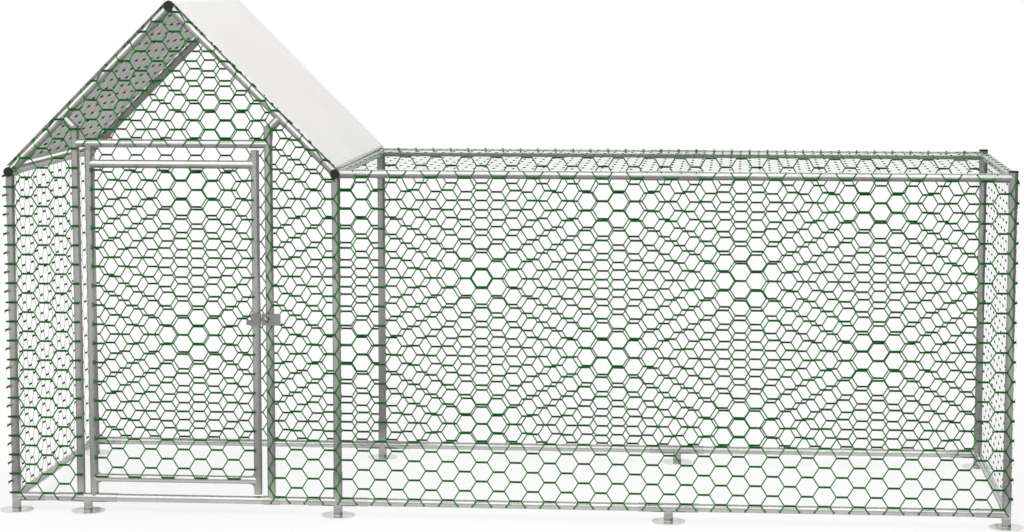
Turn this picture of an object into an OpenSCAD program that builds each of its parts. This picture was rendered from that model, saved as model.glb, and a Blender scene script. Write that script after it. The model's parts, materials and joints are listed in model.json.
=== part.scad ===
// Walk-in chicken run: a gabled end with a hinged door and a low flat-topped run beside it.
// Round steel tubes slip into connectors, netting covers every side, and a sheet covers the gabled roof.
// The front faces -Y, the run lies towards +X, and the feet stand on z = 0. Sizes are in millimetres.

/* [Overall size] */
// Length of the gabled end, between post centres
gable_l = 988; // [900:1:1300]
// Length of the low run, between post centres
run_l = 1987; // [1200:1:3000]
// Depth, between the front and rear post centres
depth = 970; // [700:1:1400]
// Height of the eave tubes and top rails, at their centres
eave_h = 1032; // [850:1:1300]
// Slope of the gabled roof, in degrees
roof_pitch = 45; // [40:1:52]

/* [Tubes and connectors] */
// Outer diameter of every frame tube
tube_d = 25; // [22:0.5:30]
// Wall of every frame tube
tube_t = 1.2; // [0.8:0.1:2]
// Wall of a connector's sleeve
sleeve_t = 1.35; // [1:0.05:2]
// Radial gap between a tube and what slides over or into it
slip = 0.15; // [0.1:0.05:0.25]
// How much thinner a connector's branch is than its main sleeve, in diameter
branch_step = 0.5; // [0.3:0.1:0.8]
// Length of a connector's arm, from its centre
arm_l = 90; // [60:1:120]
// Distance from a connector's centre to its capped end
stub_l = 16; // [16:0.5:30]
// Diameter of a black end cap
cap_d = 29; // [28:0.5:36]
// Thickness of an end cap's flange
cap_t = 5; // [3:0.5:8]
// Length of an end cap's plug, inside its tube
plug_l = 12; // [6:1:20]

/* [Screws] */
// Diameter of a connector screw's shank
screw_d = 4.8; // [3:0.1:6]
// Width of a screw's hexagon head, across its corners
screw_head_d = 9.2; // [7:0.1:12]
// Height of a screw's head
screw_head_h = 3; // [2:0.1:5]
// Distance from a connector's centre to the screw in each arm
screw_at = 65; // [40:1:75]
// How far a screw reaches inside its tube
screw_reach = 3; // [2:0.5:6]

/* [Feet] */
// Diameter of a foot's ground disc
disc_d = 102; // [60:1:140]
// Thickness of a foot's ground disc
disc_t = 3; // [2:0.5:6]
// Height of the bottom rails, at their centres
rail_h = 42.5; // [30:0.5:80]

/* [Doorway] */
// Distance between the centres of the two door posts
doorway_l = 585; // [480:1:680]
// Distance from a rafter's centre to the elbow above its door post
tee_drop = 52; // [40:1:70]
// Length of a tee's sleeve on its rafter or sill
tee_l = 50; // [40:1:54]
// Depth of an elbow's socket over the top of its door post
socket_l = 25; // [15:1:27]
// Height of an elbow's closed end above its centre
elbow_top = 12; // [11:0.5:20]
// Distance from an elbow's centre down to the header's centre
header_drop = 41.5; // [40:0.5:90]
// Length of the spigot that locates a door post on its sleeve
spigot_l = 40; // [20:1:60]

/* [Door] */
// Gap between each door stile and its door post
side_gap = 16; // [12:0.5:24]
// Gap above and below each door stile
end_gap = 6; // [5:0.5:12]
// Distance from a stile's end to the centre of the nearest door rail
rail_inset = 43; // [30:1:90]
// Radius of the fillets where a door rail meets a stile
fillet_r = 10; // [4:0.5:16]
// Thickness of those fillets
fillet_t = 12; // [6:0.5:16]
// Length of a hinge peg inside the hinge stile
peg_l = 40; // [20:1:60]
// Diameter of a hinge peg's shank, in the tube that carries it
peg_shank_d = 10; // [6:0.5:12]
// Radial running gap of the hinge pegs and of the hasp pin
running = 0.05; // [0.02:0.01:0.1]

/* [Hasp] */
// Height of the hasp's middle above the ground
hasp_z = 595; // [450:1:800]
// Height of the hasp's plates
hasp_h = 35; // [24:1:50]
// Thickness of the hasp's plates
hasp_t = 2; // [1.5:0.1:3]
// Outer diameter of the hasp's knuckles
knuckle_d = 8; // [7:0.5:12]
// Diameter of the hasp's pin
hasp_pin_d = 4; // [3:0.1:5]
// Diameter of the pin's head
pin_head_d = 6.5; // [5.5:0.1:9]
// Height of the pin's head
pin_head_h = 1.5; // [1:0.1:3]
// Distance from the latch stile's centre to the hasp's pin
hasp_pin_off = 14.5; // [13:0.1:17]
// Distance from the pin to the end of the fixed leaf
leaf_l = 42; // [36:0.5:60]
// Length of the narrow tab at the end of the leaf
tab_l = 14; // [6:0.5:16]
// Height of that tab
tab_h = 16; // [10:0.5:20]
// Diameter of the two bosses that carry the leaf on the stile
boss_d = 6; // [5:0.1:7]
// Distance from the stile's centre line to those bosses
boss_off = 5; // [4:0.1:6]
// Distance between those bosses
boss_pitch = 20; // [14:0.5:24]
// Distance from the pin to the end of the swinging strap
strap_l = 61.5; // [50:0.5:80]
// Diameter of the strap's hole, which drops over the padlock lug
strap_hole_d = 16; // [15.5:0.1:18]
// How far the strap's hole lies beyond the lug's centre, for the strap's swing
strap_hole_off = 0.75; // [0.5:0.05:1.25]
// Diameter of the padlock lug
lug_d = 11; // [9:0.5:11]
// Height of the lug between its two flats
lug_flat_h = 9; // [7:0.5:9]
// Distance from the post's centre to the lug's rounded end
lug_reach = 31; // [30:0.5:32]
// How far the lug lies from the post's centre line, towards the door
lug_off = 6.5; // [6.2:0.1:7.5]
// Diameter of the lug's padlock hole
lug_hole_d = 7; // [4:0.1:7]
// Metal left in front of the padlock hole
lug_nose = 3; // [2:0.1:3.2]

/* [Netting and cover] */
// Thickness of the netting's wire
wire_d = 2.2; // [1.5:0.1:3]
// Gap between the netting and the connectors that it lies against, and the cover and the netting
lay_gap = 0.3; // [0.2:0.05:0.6]
// Side of one netting cell, drawn far coarser than the woven one
cell_side = 134; // [110:1:200]
// Width of the twisted strands between two cells
strand_w = 5; // [3:0.5:10]
// Width of the selvedge along a net's edges
selvedge_w = 8; // [5:0.5:14]
// Thickness of the roof cover
cover_t = 2; // [1:0.1:4]
// How far the cover reaches past the rafters' centres, front and rear
cover_lap = 12.5; // [5:0.5:14]
// How far up the slope the cover stops from the eave tube's centre
cover_rise = 8; // [6:0.5:40]

/* [Hidden] */
$fn = 48;

// Colours
galvanised = [0.74, 0.74, 0.71];
zinc = [0.60, 0.60, 0.59];
cap_black = [0.10, 0.10, 0.10];
net_green = [0.20, 0.36, 0.25];
cover_white = [0.93, 0.92, 0.90];

// Directions
LEFT = [-1, 0, 0];
RIGHT = [1, 0, 0];
FRONT = [0, -1, 0];
BACK = [0, 1, 0];
DOWN = [0, 0, -1];
UP = [0, 0, 1];
up_right = [cos(roof_pitch), 0, sin(roof_pitch)];
up_left = [-cos(roof_pitch), 0, sin(roof_pitch)];

// Radii of the tubes and connectors
tube_r = tube_d / 2;
bore_r = tube_r - tube_t;
sleeve_bore_r = tube_r + slip;
sleeve_r = sleeve_bore_r + sleeve_t;
branch_r = sleeve_r - branch_step / 2;
// Where a tube stops short of the centre of a connector, and the depth of the socket behind it
setback = sleeve_r + 1;
socket_floor = setback - 0.5;
// Half of the gap between two tube ends that meet inside a sleeve
butt_gap = 1;
// Chamfer round the edge of an end cap
cap_chamfer = 1;
// Extra length of every cutting tool past the face that it cuts
past = 1;

// Frame lines
x_left = -(gable_l + run_l) / 2;
x_mid = x_left + gable_l;
x_right = x_mid + run_l;
x_ridge = (x_left + x_mid) / 2;
x_run_foot = (x_mid + x_right) / 2;
y_front = -depth / 2;
y_rear = depth / 2;
ridge_h = eave_h + gable_l / 2 * tan(roof_pitch);
slope_l = gable_l / 2 / cos(roof_pitch);
run_side = [[x_mid, rail_h], [x_right, rail_h], [x_right, eave_h], [x_mid, eave_h]];

// Doorway lines
x_post_l = x_ridge - doorway_l / 2;
x_post_r = x_ridge + doorway_l / 2;
stile_step = tube_d + side_gap;
x_hinge = x_post_l + stile_step;
x_latch = x_post_r - stile_step;
x_door_foot = x_post_l + stile_step / 2;
post_rise = (x_post_l - x_left) * tan(roof_pitch);
tee_run = x_post_l - x_left - tee_drop * sin(roof_pitch);
tee_h = eave_h + tee_run * tan(roof_pitch);
elbow_h = tee_h - tee_drop * cos(roof_pitch);
header_h = elbow_h - header_drop;
stile_z0 = rail_h + tube_r + end_gap;
stile_z1 = header_h - tube_r - end_gap;
door_rail_z0 = stile_z0 + rail_inset;
door_rail_z1 = stile_z1 - rail_inset;

// Distance from the frame's centre planes to the netting and to the hasp
net_seat = sleeve_r + lay_gap;
hasp_seat = net_seat + wire_d + lay_gap;
cover_seat = net_seat + wire_d + lay_gap;
x_pin = x_latch + hasp_pin_off;
y_pin = y_front - hasp_seat - knuckle_d / 2;
x_lug = x_post_r - lug_off;
x_strap_hole = x_lug + strap_hole_off;
hasp_z0 = hasp_z - hasp_h / 2;
// Gap between two knuckles, and between a plate's edge and the other plate's knuckle
knuckle_gap = 0.3;
knuckle_clear = knuckle_d / 2 + 1;
knuckle_h = (hasp_h - 2 * knuckle_gap) / 3;

// Connectors: centre, main direction, reach behind and ahead along it, branch directions
post_feet = [
    [[x_left, y_front, rail_h], UP, rail_h, arm_l, [RIGHT, BACK]],
    [[x_mid, y_front, rail_h], UP, rail_h, arm_l, [LEFT, RIGHT]],
    [[x_right, y_front, rail_h], UP, rail_h, arm_l, [LEFT, BACK]],
    [[x_left, y_rear, rail_h], UP, rail_h, arm_l, [RIGHT, FRONT]],
    [[x_mid, y_rear, rail_h], UP, rail_h, arm_l, [LEFT, RIGHT]],
    [[x_right, y_rear, rail_h], UP, rail_h, arm_l, [LEFT, FRONT]]
];
rail_feet = [
    [[x_door_foot, y_front, rail_h], RIGHT, arm_l, arm_l, []],
    [[x_run_foot, y_front, rail_h], RIGHT, arm_l, arm_l, []],
    [[x_run_foot, y_rear, rail_h], RIGHT, arm_l, arm_l, []]
];
eave_joints = [
    [[x_left, y_front, eave_h], BACK, stub_l, arm_l, [DOWN, up_right]],
    [[x_mid, y_front, eave_h], BACK, stub_l, arm_l, [DOWN, up_left, RIGHT]],
    [[x_left, y_rear, eave_h], FRONT, stub_l, arm_l, [DOWN, up_right]],
    [[x_mid, y_rear, eave_h], FRONT, stub_l, arm_l, [DOWN, up_left, RIGHT]]
];
ridge_joints = [
    [[x_ridge, y_front, ridge_h], BACK, stub_l, arm_l, [-up_right, -up_left]],
    [[x_ridge, y_rear, ridge_h], FRONT, stub_l, arm_l, [-up_right, -up_left]]
];
corner_joints = [
    [[x_right, y_front, eave_h], DOWN, stub_l, arm_l, [LEFT, BACK]],
    [[x_right, y_rear, eave_h], DOWN, stub_l, arm_l, [LEFT, FRONT]]
];
couplers = [
    [[x_run_foot, y_front, eave_h], RIGHT, arm_l, arm_l, []],
    [[x_run_foot, y_rear, eave_h], RIGHT, arm_l, arm_l, []]
];
capped_joints = concat(eave_joints, ridge_joints, corner_joints);
connectors = concat(post_feet, rail_feet, capped_joints, couplers);

// Screws: the point on the tube's centre line, and the direction from there to the screw's head
function screw_side(centre, arm) = abs(arm[1]) > 0.5 ? DOWN : centre[1] < 0 ? BACK : FRONT;
function arms(j) = concat([j[1]], j[2] == arm_l ? [-j[1]] : [], j[4]);
tee_points = [
    [x_left + tee_run, y_front, tee_h],
    [x_mid - tee_run, y_front, tee_h],
    [x_post_r, y_front, rail_h]
];
screws = concat(
    [for (j = connectors) for (a = arms(j)) [j[0] + screw_at * a, screw_side(j[0], a)]],
    [for (p = tee_points) [p, BACK]]
);

// A point on the way from p to q, s from p
function toward(p, q, s) = p + s * (q - p) / norm(q - p);

// Twice the area on the left of the line from a to b at point p
function side_of(a, b, p) = (b[0] - a[0]) * (p[1] - a[1]) - (b[1] - a[1]) * (p[0] - a[0]);

// The part of a convex outline on the left of the line from a to b
function cut_by(pts, a, b) = [
    for (i = [0:1:len(pts) - 1])
        let (p = pts[i], q = pts[(i + 1) % len(pts)], sp = side_of(a, b, p), sq = side_of(a, b, q))
            each concat(sp >= 0 ? [p] : [], sp * sq < 0 ? [p + (q - p) * sp / (sp - sq)] : [])
];

// The part of a convex outline inside another convex outline, both anticlockwise
function clipped(pts, outline, i = 0) =
    i == len(outline) || len(pts) < 3
        ? pts
        : clipped(cut_by(pts, outline[i], outline[(i + 1) % len(outline)]), outline, i + 1);

function outline_area(pts) =
    [for (i = [0:1:len(pts) - 1]) side_of([0, 0], pts[i], pts[(i + 1) % len(pts)]) / 2] * [for (p = pts) 1];

// A convex outline drawn in by d on every side
function left_normal(a, b) = [a[1] - b[1], b[0] - a[0]] / norm(b - a);
function inset(pts, d) = [
    for (i = [0:1:len(pts) - 1])
        let (
            p = pts[i],
            m = left_normal(pts[(i + len(pts) - 1) % len(pts)], p),
            n = left_normal(p, pts[(i + 1) % len(pts)])
        )
            p + d * (m + n) / (1 + m * n)
];

// Netting gaps: flat-topped hexagons in staggered columns, clipped to the outline inside the selvedge
cell_gap_r = cell_side - strand_w / sqrt(3);
col_pitch = 1.5 * cell_side;
row_pitch = sqrt(3) * cell_side;
least_gap_area = 0.02 * row_pitch * col_pitch;
function hexagon(c) = [for (a = [0:60:300]) c + cell_gap_r * [cos(a), sin(a)]];
function gaps(outline) =
    let (
        inner = inset(outline, selvedge_w),
        low = [min([for (p = inner) p[0]]), min([for (p = inner) p[1]])],
        high = [max([for (p = inner) p[0]]), max([for (p = inner) p[1]])],
        cols = ceil((high[0] - low[0]) / col_pitch),
        rows = ceil((high[1] - low[1]) / row_pitch)
    )
    [
        for (col = [0:cols])
            for (row = [-1:rows])
                let (
                    centre = low + [(col + 0.4) * col_pitch, (row + 0.45 + (col % 2) / 2) * row_pitch],
                    gap = clipped(hexagon(centre), inner)
                )
                    if (len(gap) > 2 && outline_area(gap) > least_gap_area) gap
    ];

// Places its children with their +Z along d, from p
module along(p, d) {
    translate(p)
        rotate([0, acos(d[2] / norm(d)), atan2(d[1], d[0])])
            children();
}

// A plain tube between two points
module tube(p, q) {
    length = norm(q - p);
    along(p, q - p)
        difference() {
            cylinder(r = tube_r, h = length);
            translate([0, 0, -past])
                cylinder(r = bore_r, h = length + 2 * past);
        }
}

// A solid rod between two points, for cutting and joining
module rod(p, q, r) {
    along(p, q - p)
        cylinder(r = r, h = norm(q - p));
}

// Children in galvanised steel, drilled for the connector screws
module drilled() {
    color(galvanised)
        difference() {
            children();
            for (s = screws)
                along(s[0], s[1])
                    cylinder(r = screw_d / 2 + slip, h = setback + past);
        }
}

// A tube between two connectors, short of their centres by a and b
module member(p, q, a = setback, b = setback) {
    drilled()
        tube(toward(p, q, a), toward(q, p, b));
}

// The solid of a connector's sleeve and branches
module connector_body(j) {
    rod(j[0] - j[2] * j[1], j[0] + j[3] * j[1], sleeve_r);
    for (d = j[4])
        rod(j[0], j[0] + arm_l * d, branch_r);
}

// The bores of a connector: right along its sleeve, and blind in each branch
module connector_bores(j, start) {
    rod(j[0] - start * j[1], j[0] + (j[3] + past) * j[1], sleeve_bore_r);
    for (d = j[4])
        rod(j[0] + socket_floor * d, j[0] + (arm_l + past) * d, sleeve_bore_r);
}

module connector(j) {
    difference() {
        connector_body(j);
        connector_bores(j, j[2] + past);
    }
}

module ground_disc(centre) {
    translate([centre[0], centre[1], 0])
        cylinder(r = disc_d / 2, h = disc_t);
}

// A foot under a post: the post stands in its sleeve, on the disc
module post_foot(j) {
    drilled()
        difference() {
            union() {
                ground_disc(j[0]);
                connector_body(j);
            }
            connector_bores(j, rail_h - disc_t);
        }
}

// A foot under a rail: a sleeve along the rail on a short leg
module rail_foot_body(j) {
    ground_disc(j[0]);
    rod([j[0][0], j[0][1], 0], j[0], branch_r);
    connector_body(j);
}

module rail_foot(j) {
    drilled()
        difference() {
            rail_foot_body(j);
            connector_bores(j, j[2] + past);
        }
}

// Posts: the ones under the eaves end in a socket, the far ones run up through their connectors
module eave_post(x, y) {
    drilled()
        tube([x, y, disc_t + butt_gap], [x, y, eave_h - setback]);
}

module end_post(x, y) {
    drilled()
        tube([x, y, disc_t + butt_gap], [x, y, eave_h + stub_l - butt_gap]);
}

module front_left_post() eave_post(x_left, y_front);
module front_mid_post() eave_post(x_mid, y_front);
module front_right_post() end_post(x_right, y_front);
module rear_left_post() eave_post(x_left, y_rear);
module rear_mid_post() eave_post(x_mid, y_rear);
module rear_right_post() end_post(x_right, y_rear);

// Door posts: notched over the sleeve below, and let into the elbow above
module door_post(x) {
    drilled()
        difference() {
            tube([x, y_front, rail_h], [x, y_front, elbow_h - butt_gap]);
            rod([x - arm_l, y_front, rail_h], [x + arm_l, y_front, rail_h], sleeve_r + slip);
        }
}

module left_door_post() door_post(x_post_l);
module right_door_post() door_post(x_post_r);

// Header: notched round both door posts and drilled for the upper hinge peg
module door_header() {
    color(galvanised)
        difference() {
            tube([x_post_l, y_front, header_h], [x_post_r, y_front, header_h]);
            for (x = [x_post_l, x_post_r])
                rod([x, y_front, header_h - sleeve_r], [x, y_front, header_h + sleeve_r], tube_r + slip);
            peg_hole(header_h, DOWN);
        }
}

// The hole for a hinge peg's shank, from the middle of the tube that carries it
module peg_hole(z, d) {
    along([x_hinge, y_front, z], d)
        cylinder(r = peg_shank_d / 2 + slip, h = setback);
}

// Rafters, ridge and eaves
module rafter(x, y) member([x, y, eave_h], [x_ridge, y, ridge_h]);
module front_left_rafter() rafter(x_left, y_front);
module front_right_rafter() rafter(x_mid, y_front);
module rear_left_rafter() rafter(x_left, y_rear);
module rear_right_rafter() rafter(x_mid, y_rear);

// A tube along the depth that runs through both its connectors to their caps
module through_tube(x, z) {
    reach = depth / 2 + stub_l - butt_gap;
    drilled()
        tube([x, -reach, z], [x, reach, z]);
}

module ridge_tube() through_tube(x_ridge, ridge_h);
module left_eave_tube() through_tube(x_left, eave_h);
module right_eave_tube() through_tube(x_mid, eave_h);

// Rails of the low run, in two lengths that meet in the middle
module run_rails(y, z) {
    member([x_mid, y, z], [x_run_foot, y, z], setback, butt_gap);
    member([x_run_foot, y, z], [x_right, y, z], butt_gap, setback);
}

module front_top_rails() run_rails(y_front, eave_h);
module rear_top_rails() run_rails(y_rear, eave_h);
module end_top_rail() member([x_right, y_front, eave_h], [x_right, y_rear, eave_h]);
module left_bottom_rail() member([x_left, y_front, rail_h], [x_left, y_rear, rail_h]);
module end_bottom_rail() member([x_right, y_front, rail_h], [x_right, y_rear, rail_h]);
module front_bottom_rails() run_rails(y_front, rail_h);

module rear_bottom_rails() {
    member([x_left, y_rear, rail_h], [x_mid, y_rear, rail_h]);
    run_rails(y_rear, rail_h);
}

// Sill: one length under the doorway, drilled for the lower hinge peg
module door_sill() {
    difference() {
        member([x_left, y_front, rail_h], [x_mid, y_front, rail_h]);
        color(galvanised)
            peg_hole(rail_h, UP);
    }
}

// Feet
module front_left_foot() post_foot(post_feet[0]);
module front_mid_foot() post_foot(post_feet[1]);
module front_right_foot() post_foot(post_feet[2]);
module rear_left_foot() post_foot(post_feet[3]);
module rear_mid_foot() post_foot(post_feet[4]);
module rear_right_foot() post_foot(post_feet[5]);
module front_run_foot() rail_foot(rail_feet[1]);
module rear_run_foot() rail_foot(rail_feet[2]);

// The spigot that stands up from a sleeve inside a door post
module post_spigot(x) {
    rod([x, y_front, rail_h], [x, y_front, rail_h + sleeve_r + spigot_l], bore_r - slip);
}

// The foot beside the doorway, which carries the left door post and the lower hinge peg
module door_foot() {
    drilled()
        difference() {
            union() {
                rail_foot_body(rail_feet[0]);
                post_spigot(x_post_l);
            }
            connector_bores(rail_feet[0], arm_l + past);
            peg_hole(rail_h, UP);
        }
}

// Connectors
module eave_connectors() {
    drilled()
        for (j = eave_joints)
            connector(j);
}

module ridge_connectors() {
    drilled()
        for (j = ridge_joints)
            connector(j);
}

module corner_connectors() {
    drilled()
        for (j = corner_joints)
            connector(j);
}

module rail_couplers() {
    drilled()
        for (j = couplers)
            connector(j);
}

// A tee on a rafter, with an elbow down to the top of a door post
module rafter_tee(p, rafter_up, x) {
    elbow = [x, y_front, elbow_h];
    half = tee_l / 2 * rafter_up;
    difference() {
        union() {
            rod(p - half, p + half, sleeve_r);
            rod(p, elbow, branch_r);
            rod(elbow + socket_l * DOWN, elbow + elbow_top * UP, sleeve_r);
        }
        rod(p - half - past * rafter_up, p + half + past * rafter_up, sleeve_bore_r);
        rod(elbow + (socket_l + past) * DOWN, elbow, sleeve_bore_r);
    }
}

// The tee on the sill under the right door post
module sill_tee() {
    centre = [x_post_r, y_front, rail_h];
    half = tee_l / 2 * RIGHT;
    difference() {
        union() {
            rod(centre - half, centre + half, sleeve_r);
            post_spigot(x_post_r);
        }
        rod(centre - half - past * RIGHT, centre + half + past * RIGHT, sleeve_bore_r);
    }
}

module door_post_tees() {
    drilled() {
        rafter_tee(tee_points[0], up_right, x_post_l);
        rafter_tee(tee_points[1], up_left, x_post_r);
        sill_tee();
    }
}

// Black caps on the open ends of the ridge and eave tubes and of the far posts
module end_cap(j) {
    along(j[0] - (stub_l + running) * j[1], -j[1]) {
        cylinder(r = cap_d / 2, h = cap_t - cap_chamfer);
        translate([0, 0, cap_t - cap_chamfer])
            cylinder(r1 = cap_d / 2, r2 = cap_d / 2 - cap_chamfer, h = cap_chamfer);
        translate([0, 0, -plug_l])
            cylinder(r = bore_r - slip, h = plug_l);
    }
}

module end_caps() {
    color(cap_black)
        for (j = capped_joints)
            end_cap(j);
}

// Hexagon-headed screws through the connectors into the tubes
module connector_screws() {
    color(zinc)
        for (s = screws)
            along(s[0], s[1]) {
                translate([0, 0, bore_r - screw_reach])
                    cylinder(r = screw_d / 2, h = sleeve_r + slip - bore_r + screw_reach);
                translate([0, 0, sleeve_r + slip])
                    cylinder(r = screw_head_d / 2, h = screw_head_h, $fn = 6);
            }
}

// A flat net in its own plane, cleared round the end caps at the given points
module net(outline, caps = []) {
    clear_r = (cap_d / 2 + lay_gap) / cos(22.5);
    color(net_green)
        linear_extrude(wire_d)
            difference() {
                polygon(outline);
                for (gap = gaps(outline))
                    polygon(gap);
                for (p = caps)
                    translate(p)
                        circle(r = clear_r, $fn = 8);
            }
}

// Nets on the front, the rear and the two ends
module front_net(outline, caps = []) {
    translate([0, y_front - net_seat, 0])
        rotate([90, 0, 0])
            net(outline, caps);
}

module rear_net(outline, caps = []) {
    translate([0, y_rear + net_seat + wire_d, 0])
        rotate([90, 0, 0])
            net(outline, caps);
}

module end_net(x) {
    translate([x, 0, 0])
        rotate([90, 0, 90])
            net([[y_front, rail_h], [y_rear, rail_h], [y_rear, eave_h], [y_front, eave_h]]);
}

module front_left_net() {
    front_net(
        [[x_left, rail_h], [x_post_l - lay_gap, rail_h], [x_post_l - lay_gap, eave_h + post_rise], [x_left, eave_h]],
        [[x_left, eave_h]]
    );
}

module front_right_net() {
    x0 = x_post_r + lay_gap;
    x1 = x_mid - lay_gap;
    front_net(
        [[x0, rail_h], [x1, rail_h], [x1, eave_h], [x0, eave_h + post_rise]],
        [[x_mid, eave_h]]
    );
}

module gable_net() {
    front_net(
        [
            [x_post_l, header_h], [x_post_r, header_h], [x_post_r, eave_h + post_rise],
            [x_ridge, ridge_h], [x_post_l, eave_h + post_rise]
        ],
        [[x_ridge, ridge_h]]
    );
}

module left_net() end_net(x_left - net_seat - wire_d);
module run_end_net() end_net(x_right + net_seat);

module rear_gable_net() {
    rear_net(
        [[x_left, rail_h], [x_mid - lay_gap, rail_h], [x_mid - lay_gap, eave_h], [x_ridge, ridge_h], [x_left, eave_h]],
        [[x_left, eave_h], [x_mid, eave_h], [x_ridge, ridge_h]]
    );
}

module run_front_net() front_net(run_side, [[x_mid, eave_h]]);
module run_rear_net() rear_net(run_side, [[x_mid, eave_h]]);

// The net over the low run, which starts clear of the gabled roof's net
module run_roof_net() {
    x0 = x_mid + net_seat + wire_d;
    translate([0, 0, eave_h + net_seat])
        net(
            [[x0, y_front], [x_right, y_front], [x_right, y_rear], [x0, y_rear]],
            [[x_right, y_front], [x_right, y_rear]]
        );
}

// The nets on the two slopes, which start above the top rails' sleeves and meet over the ridge under the cover
module roof_net() {
    foot = net_seat * tan(roof_pitch / 2);
    for (side = [0, 1])
        mirror_about_ridge(side)
            translate([x_left, 0, eave_h])
                rotate([0, -roof_pitch, 0])
                    translate([0, 0, net_seat])
                        net([[foot, y_front], [slope_l, y_front], [slope_l, y_rear], [foot, y_rear]]);
}

module mirror_about_ridge(side) {
    translate([x_ridge, 0, 0])
        mirror([side, 0, 0])
            translate([-x_ridge, 0, 0])
                children();
}

// The roof cover: one sheet, folded over the ridge
module roof_cover() {
    color(cover_white)
        translate([0, y_rear + cover_lap, 0])
            rotate([90, 0, 0])
                linear_extrude(depth + 2 * cover_lap)
                    polygon(concat(cover_line(cover_seat + cover_t, 1), cover_line(cover_seat, -1)));
}

// One face of the cover in section, s off the rafters' centre plane, run from left to right or back
function cover_line(s, run) =
    let (
        out = [-s * sin(roof_pitch), s * cos(roof_pitch)],
        low = [x_left, eave_h] + cover_rise * [cos(roof_pitch), sin(roof_pitch)] + out,
        high = [x_ridge, ridge_h + s / cos(roof_pitch)],
        far = [2 * x_ridge - low[0], low[1]]
    )
    run > 0 ? [far, high, low] : [low, high, far];

// Door stiles and rails
module stile(x) {
    color(galvanised)
        tube([x, y_front, stile_z0], [x, y_front, stile_z1]);
}

module hinge_stile() stile(x_hinge);
module latch_stile() stile(x_latch);

// The fillet between a rail's upper side and the stile on its left
module rail_fillet() {
    root = tube_r - tube_t;
    reach = sleeve_bore_r + fillet_r;
    rotate([90, 0, 0])
        translate([0, 0, -fillet_t / 2])
            linear_extrude(fillet_t)
                difference() {
                    translate([0, root])
                        square([reach, tube_r + fillet_r - root]);
                    translate([reach, tube_r + fillet_r])
                        circle(r = fillet_r);
                }
}

module door_rail(z) {
    difference() {
        union() {
            tube([x_hinge, y_front, z], [x_latch, y_front, z]);
            for (up = [0, 1])
                translate([0, y_front, z])
                    mirror([0, 0, up]) {
                        translate([x_hinge, 0, 0])
                            rail_fillet();
                        translate([x_latch, 0, 0])
                            mirror([1, 0, 0])
                                rail_fillet();
                    }
        }
        for (x = [x_hinge, x_latch])
            rod([x, y_front, z - rail_inset], [x, y_front, z + rail_inset], sleeve_bore_r);
    }
}

module door_rails() {
    color(galvanised) {
        door_rail(door_rail_z0);
        door_rail(door_rail_z1);
    }
}

module door_net() {
    front_net([
        [x_hinge, door_rail_z0], [x_latch, door_rail_z0], [x_latch, door_rail_z1], [x_hinge, door_rail_z1]
    ]);
}

// A hinge peg: a shank in the tube that carries it, a collar on that tube, and a spigot in the stile
module hinge_peg(z, d, seat_r, stile_z) {
    to_stile = abs(stile_z - z);
    along([x_hinge, y_front, z], d) {
        difference() {
            union() {
                cylinder(r = tube_r, h = to_stile - lay_gap);
                cylinder(r = bore_r - running, h = to_stile + peg_l);
            }
            rotate([0, 90, 0])
                cylinder(r = seat_r + slip, h = 2 * tube_d, center = true);
        }
        translate([0, 0, bore_r / 2])
            cylinder(r = peg_shank_d / 2, h = to_stile - bore_r / 2);
    }
}

module hinge_pegs() {
    color(zinc) {
        hinge_peg(rail_h, UP, sleeve_r, stile_z0);
        hinge_peg(header_h, DOWN, tube_r, stile_z1);
    }
}

// One knuckle of the hasp, with its tongue to the plate on the left or the right of the pin
module knuckle(z, reach) {
    translate([x_pin, y_pin, z])
        cylinder(r = knuckle_d / 2, h = knuckle_h);
    translate([min(x_pin, x_pin + reach), y_front - hasp_seat - hasp_t, z])
        cube([abs(reach), hasp_t, knuckle_h]);
}

module pin_bore(r) {
    translate([x_pin, y_pin, hasp_z0 - past])
        cylinder(r = r, h = hasp_h + 2 * past);
}

// The leaf that is fixed to the latch stile on two bosses
module hasp_leaf() {
    x0 = x_pin - leaf_l;
    x1 = x_pin - knuckle_clear;
    y0 = y_front - hasp_seat - hasp_t;
    color(zinc)
        difference() {
            union() {
                translate([x0 + tab_l, y0, hasp_z0])
                    cube([x1 - x0 - tab_l, hasp_t, hasp_h]);
                translate([x0, y0, hasp_z0])
                    cube([tab_l + past, hasp_t, tab_h]);
                for (z = [hasp_z0, hasp_z0 + hasp_h - knuckle_h])
                    knuckle(z, -knuckle_clear - past);
                for (side = [-1, 1])
                    rod(
                        [x_latch + boss_off, y0 + hasp_t / 2, hasp_z + side * boss_pitch / 2],
                        [x_latch + boss_off, y_front, hasp_z + side * boss_pitch / 2],
                        boss_d / 2
                    );
            }
            rod([x_latch, y_front, hasp_z0], [x_latch, y_front, hasp_z0 + hasp_h], sleeve_bore_r);
            pin_bore(hasp_pin_d / 2 + running);
        }
}

// The strap that swings over the padlock lug
module hasp_strap() {
    x0 = x_pin + knuckle_clear;
    y0 = y_front - hasp_seat - hasp_t;
    color(zinc)
        difference() {
            union() {
                translate([x0, y0, hasp_z0])
                    cube([strap_l - knuckle_clear, hasp_t, hasp_h]);
                knuckle(hasp_z0 + knuckle_h + knuckle_gap, knuckle_clear + past);
            }
            translate([x_strap_hole, y_front, hasp_z])
                rotate([90, 0, 0])
                    cylinder(r = strap_hole_d / 2, h = hasp_seat + knuckle_d);
            pin_bore(hasp_pin_d / 2 + running);
        }
}

module hasp_pin() {
    color(zinc) {
        translate([x_pin, y_pin, hasp_z0])
            cylinder(r = hasp_pin_d / 2, h = hasp_h + running);
        translate([x_pin, y_pin, hasp_z0 + hasp_h + running])
            cylinder(r = pin_head_d / 2, h = pin_head_h);
    }
}

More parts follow.
